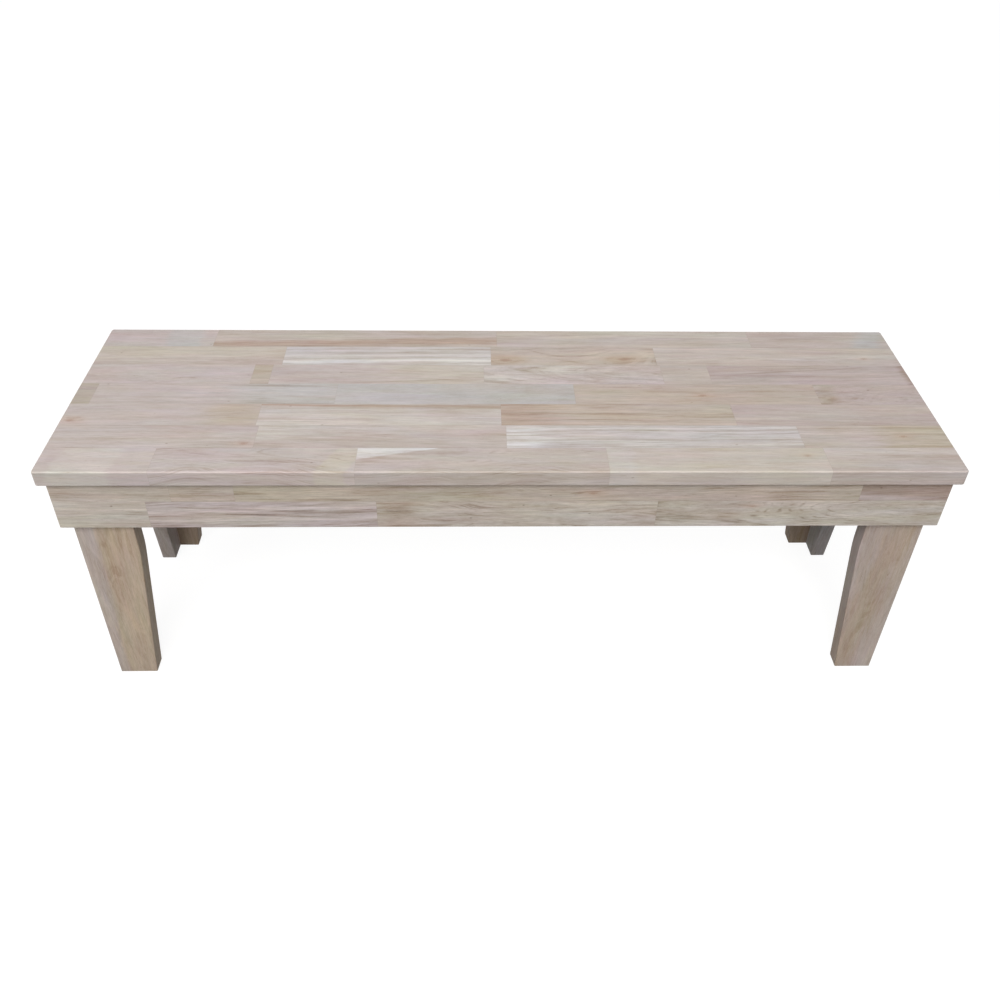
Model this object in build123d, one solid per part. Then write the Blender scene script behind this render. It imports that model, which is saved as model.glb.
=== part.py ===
from build123d import *
import os

# A plain wooden bench that stands on the floor plane, Z up, X along its length
# and its front towards -Y. The origin is the middle of its footprint.
# All sizes are in millimetres.

# Overall size
bench_length = 1270.0
bench_depth = 338.0
bench_height = 457.0

# Seat: a solid panel of glued rows, each row made of staves end to end
seat_thickness = 25.4
seat_overhang = 9.0
seat_corner_radius = 4.0
seat_top_edge_radius = 2.5
seat_bottom_edge_radius = 1.5
# Where the staves of a row meet, as shares of the seat's length from its left
# end. The first row is the one at the back.
seat_row_joint_shares = [
    [0.137, 0.494, 0.820],
    [0.230, 0.486, 0.692],
    [0.198, 0.220, 0.477, 0.695, 0.753],
    [0.022, 0.303, 0.584, 0.874],
    [0.220, 0.496, 0.765],
    [0.224, 0.501, 0.832],
    [0.121, 0.338, 0.610, 0.851],
]

# Aprons: four boards mitred at the corners, each glued from two strips
apron_height = 88.9
apron_thickness = 12.0
apron_corner_radius = 2.0
apron_edge_radius = 1.2
apron_upper_strip_share = 0.43
# Where the staves of a strip meet, as shares of the apron's length
front_apron_joint_shares = {"upper": [0.131, 0.201, 0.898], "lower": [0.102, 0.356, 0.671]}
back_apron_joint_shares = {"upper": [0.246, 0.588], "lower": [0.139, 0.472, 0.803]}
end_apron_joint_shares = {"upper": [], "lower": []}

# Legs: two boards joined in an L, straight at the top and tapered on the
# inner edge below the apron
leg_board_thickness = 24.5
leg_top_width = 84.0
leg_face_foot_width = 58.0
leg_side_foot_width = 56.0
leg_taper_height = 274.0
leg_taper_radius = 350.0
leg_edge_radius = 1.5

# Dowels that pin the two boards of a leg together
dowel_diameter = 8.0
dowel_length = 30.0
dowel_depth_in_face_board = 12.0
dowel_clearance = 0.1
dowel_end_clearance = 0.5
# Heights of the dowels, as shares of the leg's height
dowel_height_shares = [0.09, 0.36, 0.63, 0.90]

# Glue block in the inner corner of each leg, which stops short of the washers
leg_block_washer_gap = 6.0
leg_block_height = 82.0
leg_block_chamfer_share = 0.4

# Bolts that hold each leg to its two aprons, with washers and inserts
bolt_diameter = 6.0
bolt_length = 35.0
bolt_head_diameter = 11.0
bolt_head_height = 3.3
bolt_socket_width = 4.0
bolt_socket_depth = 2.0
bolt_hole_clearance = 0.5
washer_diameter = 18.0
washer_thickness = 1.5
washer_bore_clearance = 0.3
insert_diameter = 9.0
insert_length = 10.0
insert_clearance = 0.1
insert_end_clearance = 0.3
thread_clearance = 0.05
bolt_edge_distance = 20.0
# Heights of the two bolts in a board, as shares of the apron's height
bolt_height_shares = [0.27, 0.73]

# Cleats along the aprons, which carry the seat
cleat_height = 20.0
cleat_depth = 20.0
cleat_edge_chamfer = 1.0
cleat_end_gap = 3.0

# Batten across the middle of the seat's underside
batten_width = 60.0
batten_thickness = 18.0
batten_edge_chamfer = 1.0
batten_end_gap = 0.5
# Screw places across the batten, as shares of its width and length
batten_screw_width_shares = [-0.27, 0.27]
batten_screw_length_shares = [-0.39, -0.13, 0.13, 0.39]

# Countersunk wood screws
screw_diameter = 4.0
screw_head_diameter = 8.0
screw_head_height = 2.6
screw_slot_width = 1.0
screw_slot_depth = 0.9
screw_clearance = 0.1
seat_screw_length = 34.0
apron_screw_length = 28.0
batten_screw_length = 31.0
long_cleat_screw_count = 6
end_cleat_screw_count = 2

# Places that follow from the sizes above
seat_underside = bench_height - seat_thickness
apron_bottom = seat_underside - apron_height
apron_split = seat_underside - apron_height * apron_upper_strip_share
apron_outer_x = bench_length / 2 - seat_overhang
apron_outer_y = bench_depth / 2 - seat_overhang
leg_outer_x = apron_outer_x - apron_thickness
leg_outer_y = apron_outer_y - apron_thickness
leg_inner_x = leg_outer_x - leg_board_thickness
leg_inner_y = leg_outer_y - leg_board_thickness
leg_block_side = (
    leg_top_width - leg_board_thickness - bolt_edge_distance - washer_diameter / 2 - leg_block_washer_gap
)
cleat_bottom = seat_underside - cleat_height
cleat_inner_x = leg_outer_x - cleat_depth
cleat_inner_y = leg_outer_y - cleat_depth
batten_bottom = seat_underside - batten_thickness

right = Vector(1, 0, 0)
back = Vector(0, 1, 0)
up = Vector(0, 0, 1)


def block(x_low, x_high, y_low, y_high, z_low, z_high):
    """A straight block between two opposite corners."""
    middle = Pos((x_low + x_high) / 2, (y_low + y_high) / 2, (z_low + z_high) / 2)
    return middle * Box(x_high - x_low, y_high - y_low, z_high - z_low)


def rod(radius, length, start, direction):
    """A round rod that runs from a point in a direction."""
    standing = (Align.CENTER, Align.CENTER, Align.MIN)
    return Plane(origin=start, z_dir=direction) * Cylinder(radius, length, align=standing)


def cone(start_radius, end_radius, length, start, direction):
    """A cone that narrows from a point in a direction."""
    standing = (Align.CENTER, Align.CENTER, Align.MIN)
    return Plane(origin=start, z_dir=direction) * Cone(start_radius, end_radius, length, align=standing)


def even_places(length, count):
    """Evenly spaced places along a length that is centred on zero."""
    step = length / count
    first = (step - length) / 2
    return [first + index * step for index in range(count)]


def mirrored_to_corners(shape):
    """The right front shape's copies at all four corners, by corner name."""
    left_front = mirror(shape, Plane.YZ)
    return {
        "front_left": left_front,
        "front_right": shape,
        "back_left": mirror(left_front, Plane.XZ),
        "back_right": mirror(shape, Plane.XZ),
    }


def export_group(name, solids):
    """Write one sub-part that is made of one or more separate solids."""
    pieces = [solid for shape in solids for solid in shape.solids()]
    shape = pieces[0] if len(pieces) == 1 else Compound(pieces)
    export_step(shape, f"parts/{name}.step")


# Screws


def screw(start, direction, length):
    """A countersunk wood screw whose head is flush at its start."""
    shank = rod(screw_diameter / 2, length, start, direction)
    head = cone(screw_head_diameter / 2, screw_diameter / 2, screw_head_height, start, direction)
    across = Plane(origin=start, z_dir=direction)
    slot = Box(screw_head_diameter, screw_slot_width, screw_slot_depth * 2)
    cross_slot = Box(screw_slot_width, screw_head_diameter, screw_slot_depth * 2)
    reach = across * Cylinder(screw_head_diameter / 4, screw_slot_depth * 2)
    return shank + head - (across * (slot + cross_slot) & reach)


def screw_hole(start, direction, length):
    """The hole that a screw sits in, a clearance wider all round."""
    shank = rod(screw_diameter / 2 + screw_clearance, length + screw_clearance, start, direction)
    head = cone(
        screw_head_diameter / 2 + screw_clearance,
        screw_diameter / 2 + screw_clearance,
        screw_head_height,
        start,
        direction,
    )
    return shank + head


def cleat_screw_places():
    """Start and direction of each cleat screw: the upright ones go into the
    seat and the level ones go into an apron."""
    upright = []
    level = []
    run = 2 * (leg_outer_x - leg_top_width - cleat_end_gap)
    shift = run / long_cleat_screw_count / 4
    middle_y = leg_outer_y - cleat_depth / 2
    middle_z = seat_underside - cleat_height / 2
    for x in even_places(run, long_cleat_screw_count):
        for side in (-1, 1):
            upright.append(((x - shift, side * middle_y, cleat_bottom), up))
            level.append(((x + shift, side * cleat_inner_y, middle_z), back * side))
    run = 2 * (leg_outer_y - leg_top_width - cleat_end_gap)
    shift = run / end_cleat_screw_count / 4
    middle_x = leg_outer_x - cleat_depth / 2
    for y in even_places(run, end_cleat_screw_count):
        for side in (-1, 1):
            upright.append(((side * middle_x, y - shift, cleat_bottom), up))
            level.append(((side * cleat_inner_x, y + shift, middle_z), right * side))
    return upright, level


def batten_screw_places():
    """Start of each batten screw, on the batten's lower face."""
    length = 2 * (cleat_inner_y - batten_end_gap)
    return [
        (width_share * batten_width, length_share * length, batten_bottom)
        for width_share in batten_screw_width_shares
        for length_share in batten_screw_length_shares
    ]


seat_screw_places, apron_screw_places = cleat_screw_places()
seat_screws = [screw(*place, seat_screw_length) for place in seat_screw_places]
seat_screw_holes = [screw_hole(*place, seat_screw_length) for place in seat_screw_places]
apron_screws = [screw(*place, apron_screw_length) for place in apron_screw_places]
apron_screw_holes = [screw_hole(*place, apron_screw_length) for place in apron_screw_places]
batten_screws = [screw(start, up, batten_screw_length) for start in batten_screw_places()]
batten_screw_holes = [screw_hole(start, up, batten_screw_length) for start in batten_screw_places()]


# Bolts, washers and threaded inserts


def bolt_places():
    """Where the right front leg's bolts pass its inner faces, and their
    directions: two go forward through the face board into the front apron,
    and two go outward through the side board into the end apron."""
    along_face = leg_outer_x - leg_top_width + bolt_edge_distance
    along_side = leg_outer_y - leg_top_width + bolt_edge_distance
    places = []
    for share in bolt_height_shares:
        height = apron_bottom + apron_height * share
        places.append((Vector(along_face, -leg_inner_y, height), -back))
        places.append((Vector(leg_inner_x, -along_side, height), right))
    return places


def bolt(place, direction):
    """A socket head bolt that bears on its washer."""
    bearing = place - direction * washer_thickness
    shank = rod(bolt_diameter / 2, bolt_length, bearing, direction)
    head = rod(bolt_head_diameter / 2, bolt_head_height, bearing, -direction)
    top = bearing - direction * bolt_head_height
    top_plane = Plane(origin=top, z_dir=direction)
    socket_sketch = RegularPolygon(bolt_socket_width / 2, 6, major_radius=False)
    socket = extrude(top_plane * socket_sketch, bolt_socket_depth)
    return shank + head - socket


def washer(place, direction):
    """A flat washer between a bolt's head and the leg."""
    disc = rod(washer_diameter / 2, washer_thickness, place, -direction)
    bore = rod(bolt_diameter / 2 + washer_bore_clearance, washer_thickness, place, -direction)
    return disc - bore


def insert_mouth(place, direction):
    """The point where an insert starts, on the apron's inner face."""
    return place + direction * leg_board_thickness


def insert(place, direction):
    """A threaded insert, let into the apron from its inner face."""
    mouth = insert_mouth(place, direction)
    sleeve = rod(insert_diameter / 2, insert_length, mouth, direction)
    bore = rod(bolt_diameter / 2 + thread_clearance, insert_length, mouth, direction)
    return sleeve - bore


def insert_hole(place, direction):
    """The blind hole for an insert."""
    mouth = insert_mouth(place, direction)
    radius = insert_diameter / 2 + insert_clearance
    return rod(radius, insert_length + insert_end_clearance, mouth, direction)


def bolt_hole(place, direction):
    """The hole for a bolt, through a leg board."""
    radius = bolt_diameter / 2 + bolt_hole_clearance
    return rod(radius, leg_board_thickness, place, direction)


def at_all_legs(make):
    """What a function makes at each bolt, for the bolts of all four legs."""
    made = [make(*place) for place in bolt_places()]
    return [copy for shape in made for copy in mirrored_to_corners(shape).values()]


# Dowels


def dowel_starts():
    """Where each dowel of the right front leg begins, inside the face board."""
    middle_x = leg_outer_x - leg_board_thickness / 2
    start_y = -leg_inner_y - dowel_depth_in_face_board
    return [Vector(middle_x, start_y, seat_underside * share) for share in dowel_height_shares]


def dowel_holes():
    """Holes for the dowels, through the joint of the two boards."""
    radius = dowel_diameter / 2 + dowel_clearance
    length = dowel_length + 2 * dowel_end_clearance
    return [rod(radius, length, start - back * dowel_end_clearance, back) for start in dowel_starts()]


def dowels():
    """The dowels of all four legs."""
    made = [rod(dowel_diameter / 2, dowel_length, start, back) for start in dowel_starts()]
    return [copy for shape in made for copy in mirrored_to_corners(shape).values()]


# Legs


def leg_outline(near_edge, foot_width, plane):
    """A leg board's outline on a plane whose X runs inwards from the leg's
    outer corner: straight down to the taper, then narrowing to the foot."""
    taper_corner = Vector(leg_top_width, leg_taper_height)
    outline = make_face(
        Polyline(
            (near_edge, 0),
            (foot_width, 0),
            taper_corner,
            (leg_top_width, seat_underside),
            (near_edge, seat_underside),
            close=True,
        )
    )
    corner = outline.vertices().sort_by_distance(taper_corner)[0]
    return plane * fillet(corner, leg_taper_radius)


def leg_face_board():
    """The right front leg's board that faces the front."""
    plane = Plane(origin=(leg_outer_x, -leg_outer_y, 0), x_dir=-right, z_dir=back)
    board = extrude(leg_outline(0, leg_face_foot_width, plane), leg_board_thickness)
    top = board.faces().sort_by(Axis.Z)[-1]
    foot = board.faces().sort_by(Axis.Z)[0]
    outer = board.faces().sort_by(Axis.X)[-1]
    joint = board.faces().sort_by(Axis.Y)[-1]
    joint_edges = joint.edges() & (outer.edges() + foot.edges())
    board = fillet(board.edges() - top.edges() - joint_edges, leg_edge_radius)
    for place, direction in bolt_places():
        if direction.Y:
            board -= bolt_hole(place, direction)
    for hole in dowel_holes():
        board -= hole
    return board


def leg_side_board():
    """The right front leg's board that faces outwards, behind the face board."""
    plane = Plane(origin=(leg_inner_x, -leg_outer_y, 0), x_dir=back, z_dir=right)
    outline = leg_outline(leg_board_thickness, leg_side_foot_width, plane)
    board = extrude(outline, leg_board_thickness)
    top = board.faces().sort_by(Axis.Z)[-1]
    joint = board.faces().sort_by(Axis.Y)[0]
    board = fillet(board.edges() - top.edges() - joint.edges(), leg_edge_radius)
    for place, direction in bolt_places():
        if direction.X:
            board -= bolt_hole(place, direction)
    for hole in dowel_holes():
        board -= hole
    return board


def leg_block():
    """The glue block in the inner corner of the right front leg."""
    piece = block(
        leg_inner_x - leg_block_side,
        leg_inner_x,
        -leg_inner_y,
        -leg_inner_y + leg_block_side,
        seat_underside - leg_block_height,
        seat_underside,
    )
    free_edge = piece.edges().filter_by(Axis.Z).sort_by(lambda edge: edge.center().Y - edge.center().X)[-1]
    return chamfer(free_edge, leg_block_side * leg_block_chamfer_share)


# Seat


def seat_slab():
    """The whole seat panel, with its eased edges and screw holes."""
    slab = block(
        -bench_length / 2, bench_length / 2, -bench_depth / 2, bench_depth / 2, seat_underside, bench_height
    )
    slab = fillet(slab.edges().filter_by(Axis.Z), seat_corner_radius)
    slab = fillet(slab.faces().sort_by(Axis.Z)[-1].edges(), seat_top_edge_radius)
    slab = fillet(slab.faces().sort_by(Axis.Z)[0].edges(), seat_bottom_edge_radius)
    for hole in seat_screw_holes + batten_screw_holes:
        slab -= hole
    return slab


def cut_along(board, joint_shares, length, y_low, y_high, z_low, z_high):
    """The staves of one row of a board, cut at shares of its length."""
    ends = [0.0] + joint_shares + [1.0]
    staves = []
    for start, end in zip(ends, ends[1:]):
        x_low = (start - 1 / 2) * length
        x_high = (end - 1 / 2) * length
        staves.append(board & block(x_low, x_high, y_low, y_high, z_low, z_high))
    return staves


def seat_rows():
    """The staves of each row of the seat, from the back row to the front."""
    slab = seat_slab()
    row_depth = bench_depth / len(seat_row_joint_shares)
    rows = []
    for index, joint_shares in enumerate(seat_row_joint_shares):
        y_high = bench_depth / 2 - index * row_depth
        y_low = y_high - row_depth
        rows.append(
            cut_along(slab, joint_shares, bench_length, y_low, y_high, seat_underside, bench_height)
        )
    return rows


# Aprons


def apron_ring():
    """The four aprons as one mitred frame, with the holes for what fixes them."""
    outside = block(
        -apron_outer_x, apron_outer_x, -apron_outer_y, apron_outer_y, apron_bottom, seat_underside
    )
    outside = fillet(outside.edges().filter_by(Axis.Z), apron_corner_radius)
    outside = fillet(outside.faces().sort_by(Axis.Z)[0].edges(), apron_edge_radius)
    inside = block(-leg_outer_x, leg_outer_x, -leg_outer_y, leg_outer_y, apron_bottom, seat_underside)
    ring = outside - inside
    for hole in at_all_legs(insert_hole) + apron_screw_holes:
        ring -= hole
    return ring


def mitred_region(*corners):
    """The space of one apron, between its mitres."""
    plane = Plane(origin=(0, 0, apron_bottom))
    return extrude(plane * make_face(Polyline(*corners, close=True)), apron_height)


def long_apron(ring, side):
    """The front apron for side -1, or the back apron for side 1."""
    outer_y = side * apron_outer_y
    inner_y = side * leg_outer_y
    return ring & mitred_region(
        (-apron_outer_x, outer_y), (apron_outer_x, outer_y), (leg_outer_x, inner_y), (-leg_outer_x, inner_y)
    )


def end_apron(ring, side):
    """The left apron for side -1, or the right apron for side 1."""
    outer_x = side * apron_outer_x
    inner_x = side * leg_outer_x
    return ring & mitred_region(
        (outer_x, -apron_outer_y), (outer_x, apron_outer_y), (inner_x, leg_outer_y), (inner_x, -leg_outer_y)
    )


def apron_strips(board, joint_shares):
    """An apron's upper and lower strips, each a row of staves."""
    levels = {"upper": (apron_split, seat_underside), "lower": (apron_bottom, apron_split)}
    return {
        name: cut_along(
            board, joint_shares[name], 2 * apron_outer_x, -apron_outer_y, apron_outer_y, z_low, z_high
        )
        for name, (z_low, z_high) in levels.items()
    }


# Cleats and batten


def long_cleat(side):
    """The cleat along the front apron for side -1, or the back for side 1."""
    reach = leg_outer_x - leg_top_width - cleat_end_gap
    y_low, y_high = sorted((side * leg_outer_y, side * cleat_inner_y))
    piece = block(-reach, reach, y_low, y_high, cleat_bottom, seat_underside)
    lower_edges = piece.faces().sort_by(Axis.Z)[0].edges().filter_by(Axis.X)
    piece = chamfer(lower_edges.sort_by(Axis.Y)[(1 - side) // 2], cleat_edge_chamfer)
    for hole in seat_screw_holes + apron_screw_holes:
        piece -= hole
    return piece


def end_cleat(side):
    """The cleat along the left apron for side -1, or the right for side 1."""
    reach = leg_outer_y - leg_top_width - cleat_end_gap
    x_low, x_high = sorted((side * leg_outer_x, side * cleat_inner_x))
    piece = block(x_low, x_high, -reach, reach, cleat_bottom, seat_underside)
    lower_edges = piece.faces().sort_by(Axis.Z)[0].edges().filter_by(Axis.Y)
    piece = chamfer(lower_edges.sort_by(Axis.X)[(1 - side) // 2], cleat_edge_chamfer)
    for hole in seat_screw_holes + apron_screw_holes:
        piece -= hole
    return piece


def batten():
    """The batten across the middle of the seat."""
    reach = cleat_inner_y - batten_end_gap
    piece = block(-batten_width / 2, batten_width / 2, -reach, reach, batten_bottom, seat_underside)
    piece = chamfer(piece.faces().sort_by(Axis.Z)[0].edges(), batten_edge_chamfer)
    for hole in batten_screw_holes:
        piece -= hole
    return piece


os.makedirs("parts", exist_ok=True)

for number, staves in enumerate(seat_rows(), start=1):
    export_group(f"seat_strip_{number}", staves)

ring = apron_ring()
aprons = {
    "front_apron": (long_apron(ring, -1), front_apron_joint_shares),
    "back_apron": (long_apron(ring, 1), back_apron_joint_shares),
    "left_apron": (end_apron(ring, -1), end_apron_joint_shares),
    "right_apron": (end_apron(ring, 1), end_apron_joint_shares),
}
for name, (board, joint_shares) in aprons.items():
    for level, staves in apron_strips(board, joint_shares).items():
        export_group(f"{name}_{level}_strip", staves)

leg_pieces = {"face_board": leg_face_board(), "side_board": leg_side_board(), "glue_block": leg_block()}
for kind, shape in leg_pieces.items():
    for corner, copy in mirrored_to_corners(shape).items():
        export_group(f"{corner}_leg_{kind}", [copy])

export_group("front_seat_cleat", [long_cleat(-1)])
export_group("back_seat_cleat", [long_cleat(1)])
export_group("left_seat_cleat", [end_cleat(-1)])
export_group("right_seat_cleat", [end_cleat(1)])
export_group("seat_batten", [batten()])

export_group("leg_dowels", dowels())
export_group("leg_bolts", at_all_legs(bolt))
export_group("leg_bolt_washers", at_all_legs(washer))
export_group("apron_threaded_inserts", at_all_legs(insert))
export_group("seat_screws", seat_screws)
export_group("apron_screws", apron_screws)
export_group("batten_screws", batten_screws)
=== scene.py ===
import math
import random
from collections import namedtuple

import bmesh
import bpy
from mathutils import Matrix, Vector


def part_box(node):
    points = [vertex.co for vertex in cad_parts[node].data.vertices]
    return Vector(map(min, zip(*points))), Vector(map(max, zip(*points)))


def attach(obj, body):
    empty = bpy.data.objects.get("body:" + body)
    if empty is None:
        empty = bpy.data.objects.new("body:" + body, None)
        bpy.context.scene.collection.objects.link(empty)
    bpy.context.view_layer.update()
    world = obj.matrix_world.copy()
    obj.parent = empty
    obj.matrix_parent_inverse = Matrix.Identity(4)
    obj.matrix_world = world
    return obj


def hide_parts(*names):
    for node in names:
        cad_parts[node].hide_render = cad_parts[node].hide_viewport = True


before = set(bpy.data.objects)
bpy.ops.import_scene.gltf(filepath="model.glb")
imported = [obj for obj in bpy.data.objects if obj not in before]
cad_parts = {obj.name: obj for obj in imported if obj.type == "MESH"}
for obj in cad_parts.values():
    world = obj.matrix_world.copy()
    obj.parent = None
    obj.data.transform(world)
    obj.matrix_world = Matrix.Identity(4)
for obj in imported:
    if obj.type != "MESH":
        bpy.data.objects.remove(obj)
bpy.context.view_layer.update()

# The looks of a pale wooden bench. Lengths are in metres, in the frame's own
# axes: X along the bench, the front towards -Y, Z up. Places come from the
# frame's boxes. The wood's figure is worked out in millimetres.

MM = 0.001

# Rounding of the boards' edges
SEAT_CORNER_RADIUS = 4.0 * MM
SEAT_TOP_RADIUS = 2.5 * MM
SEAT_BOTTOM_RADIUS = 1.5 * MM
APRON_CORNER_RADIUS = 2.0 * MM
APRON_BOTTOM_RADIUS = 1.2 * MM
LEG_EDGE_RADIUS = 1.5 * MM
BRACE_EDGE_RADIUS = 1.0 * MM
RIM_RADIUS = 0.3 * MM
ROUND_SEGMENTS = 6
LEG_SEGMENTS = 4
SMALL_SEGMENTS = 3

# What counts as one point, one place, a sharp edge, a fastener's rim and a
# flat face
WELD_DISTANCE = 0.001 * MM
SAME_PLACE = 0.01 * MM
SHARP_ANGLE = math.radians(40)
RIM_ANGLE = math.radians(50)
FLAT_ANGLE = math.radians(0.5)

# The largest part of a point's normal where an edge starts to count as
# round, and how far it falls until the edge counts as fully round
ARRIS_START = 0.985
ARRIS_RANGE = 0.22

# Legs
LEG_TAPER_HEIGHT = 274.0 * MM
LEG_TAPER_RADIUS = 350.0 * MM
LEG_FACE_FOOT_WIDTH = 58.0 * MM
LEG_SIDE_FOOT_WIDTH = 56.0 * MM
TAPER_SEGMENTS = 10

# Wood tones in linear colour
TONES = {
    "snow": (0.640, 0.610, 0.600),
    "chalk": (0.560, 0.516, 0.502),
    "pale": (0.558, 0.508, 0.472),
    "cream": (0.548, 0.492, 0.436),
    "rose": (0.527, 0.463, 0.440),
    "plain": (0.516, 0.452, 0.414),
    "ash": (0.500, 0.474, 0.456),
    "tan": (0.508, 0.434, 0.376),
    "olive": (0.500, 0.438, 0.362),
    "mauve": (0.492, 0.418, 0.396),
    "russet": (0.455, 0.355, 0.292),
    "dun": (0.440, 0.378, 0.325),
    "umber": (0.385, 0.300, 0.260),
    "leg_rose": (0.470, 0.400, 0.358),
    "leg_tan": (0.470, 0.378, 0.288),
    "leg_brown": (0.450, 0.362, 0.290),
    # A browner wood, made darker still as painted shade from under the bench, over the whole board
    "leg_brown_painted_shade": (0.360, 0.275, 0.210),
    "bare": (0.500, 0.418, 0.326),
}

# How a board was cut from the log: where its middle lies from the log's
# centre, sideways and in depth, in millimetres, and how far the grain runs
# out sideways and in depth over the board's length.
CUTS = {
    "flat": (12.0, -62.0, 0.006, 0.045),
    "arched": (-8.0, -42.0, -0.012, 0.080),
    "rift": (82.0, -74.0, 0.010, 0.006),
    "quarter": (150.0, -22.0, -0.006, 0.004),
    "slant": (115.0, -38.0, 0.030, 0.010),
}

# How much a board's place in its log and its grain's run-out vary
PLACE_SPREAD = (0.85, 1.15)
RUN_SPREAD = (0.7, 1.3)

# Seeds of the boards: the first, and the steps from piece to piece and from
# stave to stave. The figure's seed starts again after each cycle.
SEAT_SEEDS = (11, 17, 5)
APRON_SEEDS = (211, 23, 7)
LEG_SEEDS = (401, 29, 0)
BRACE_SEEDS = (701, 31, 0)
SEED_CYCLE = 97

# A distance in millimetres that no board reaches, and what stands for no
# patch, no knot and no dark curve
FAR = 1000.0
NO_PATCH = (0.0, FAR, 0.0, 1.0, 1.0, "plain")
NO_KNOT = (FAR, FAR, 8.0, 0.0, 0.0)
NO_MARK = (0.0, FAR, 0.0, 0.0, 1.0, 10.0)

# What a stave's knots and dark curves are called in its mesh
KNOTS = ("knot_a", "knot_b")
MARKS = ("mark_a", "mark_b")


class Stave:
    """How one stave looks. Places are in millimetres from its middle, along
    the grain and across its face.

    end: where it ends, as a share of the board's length
    tone, cut: names in TONES and CUTS
    strength, lines: how strong its growth bands and its thin dark lines are
    patch: a band of another tone: place, direction in degrees, half width,
        softness, tone
    knots: growth bumps: place, spread, height, size of the dark core
    marks: dark curves: place, slope, bend, width, length
    """

    def __init__(self, end, tone, cut, strength, lines=0.5, patch=NO_PATCH, knots=(), marks=()):
        self.end = end
        self.tone = tone
        self.cut = cut
        self.strength = strength
        self.lines = lines
        self.patch = patch
        self.knots = (list(knots) + [NO_KNOT] * len(KNOTS))[:len(KNOTS)]
        self.marks = (list(marks) + [NO_MARK] * len(MARKS))[:len(MARKS)]


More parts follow.
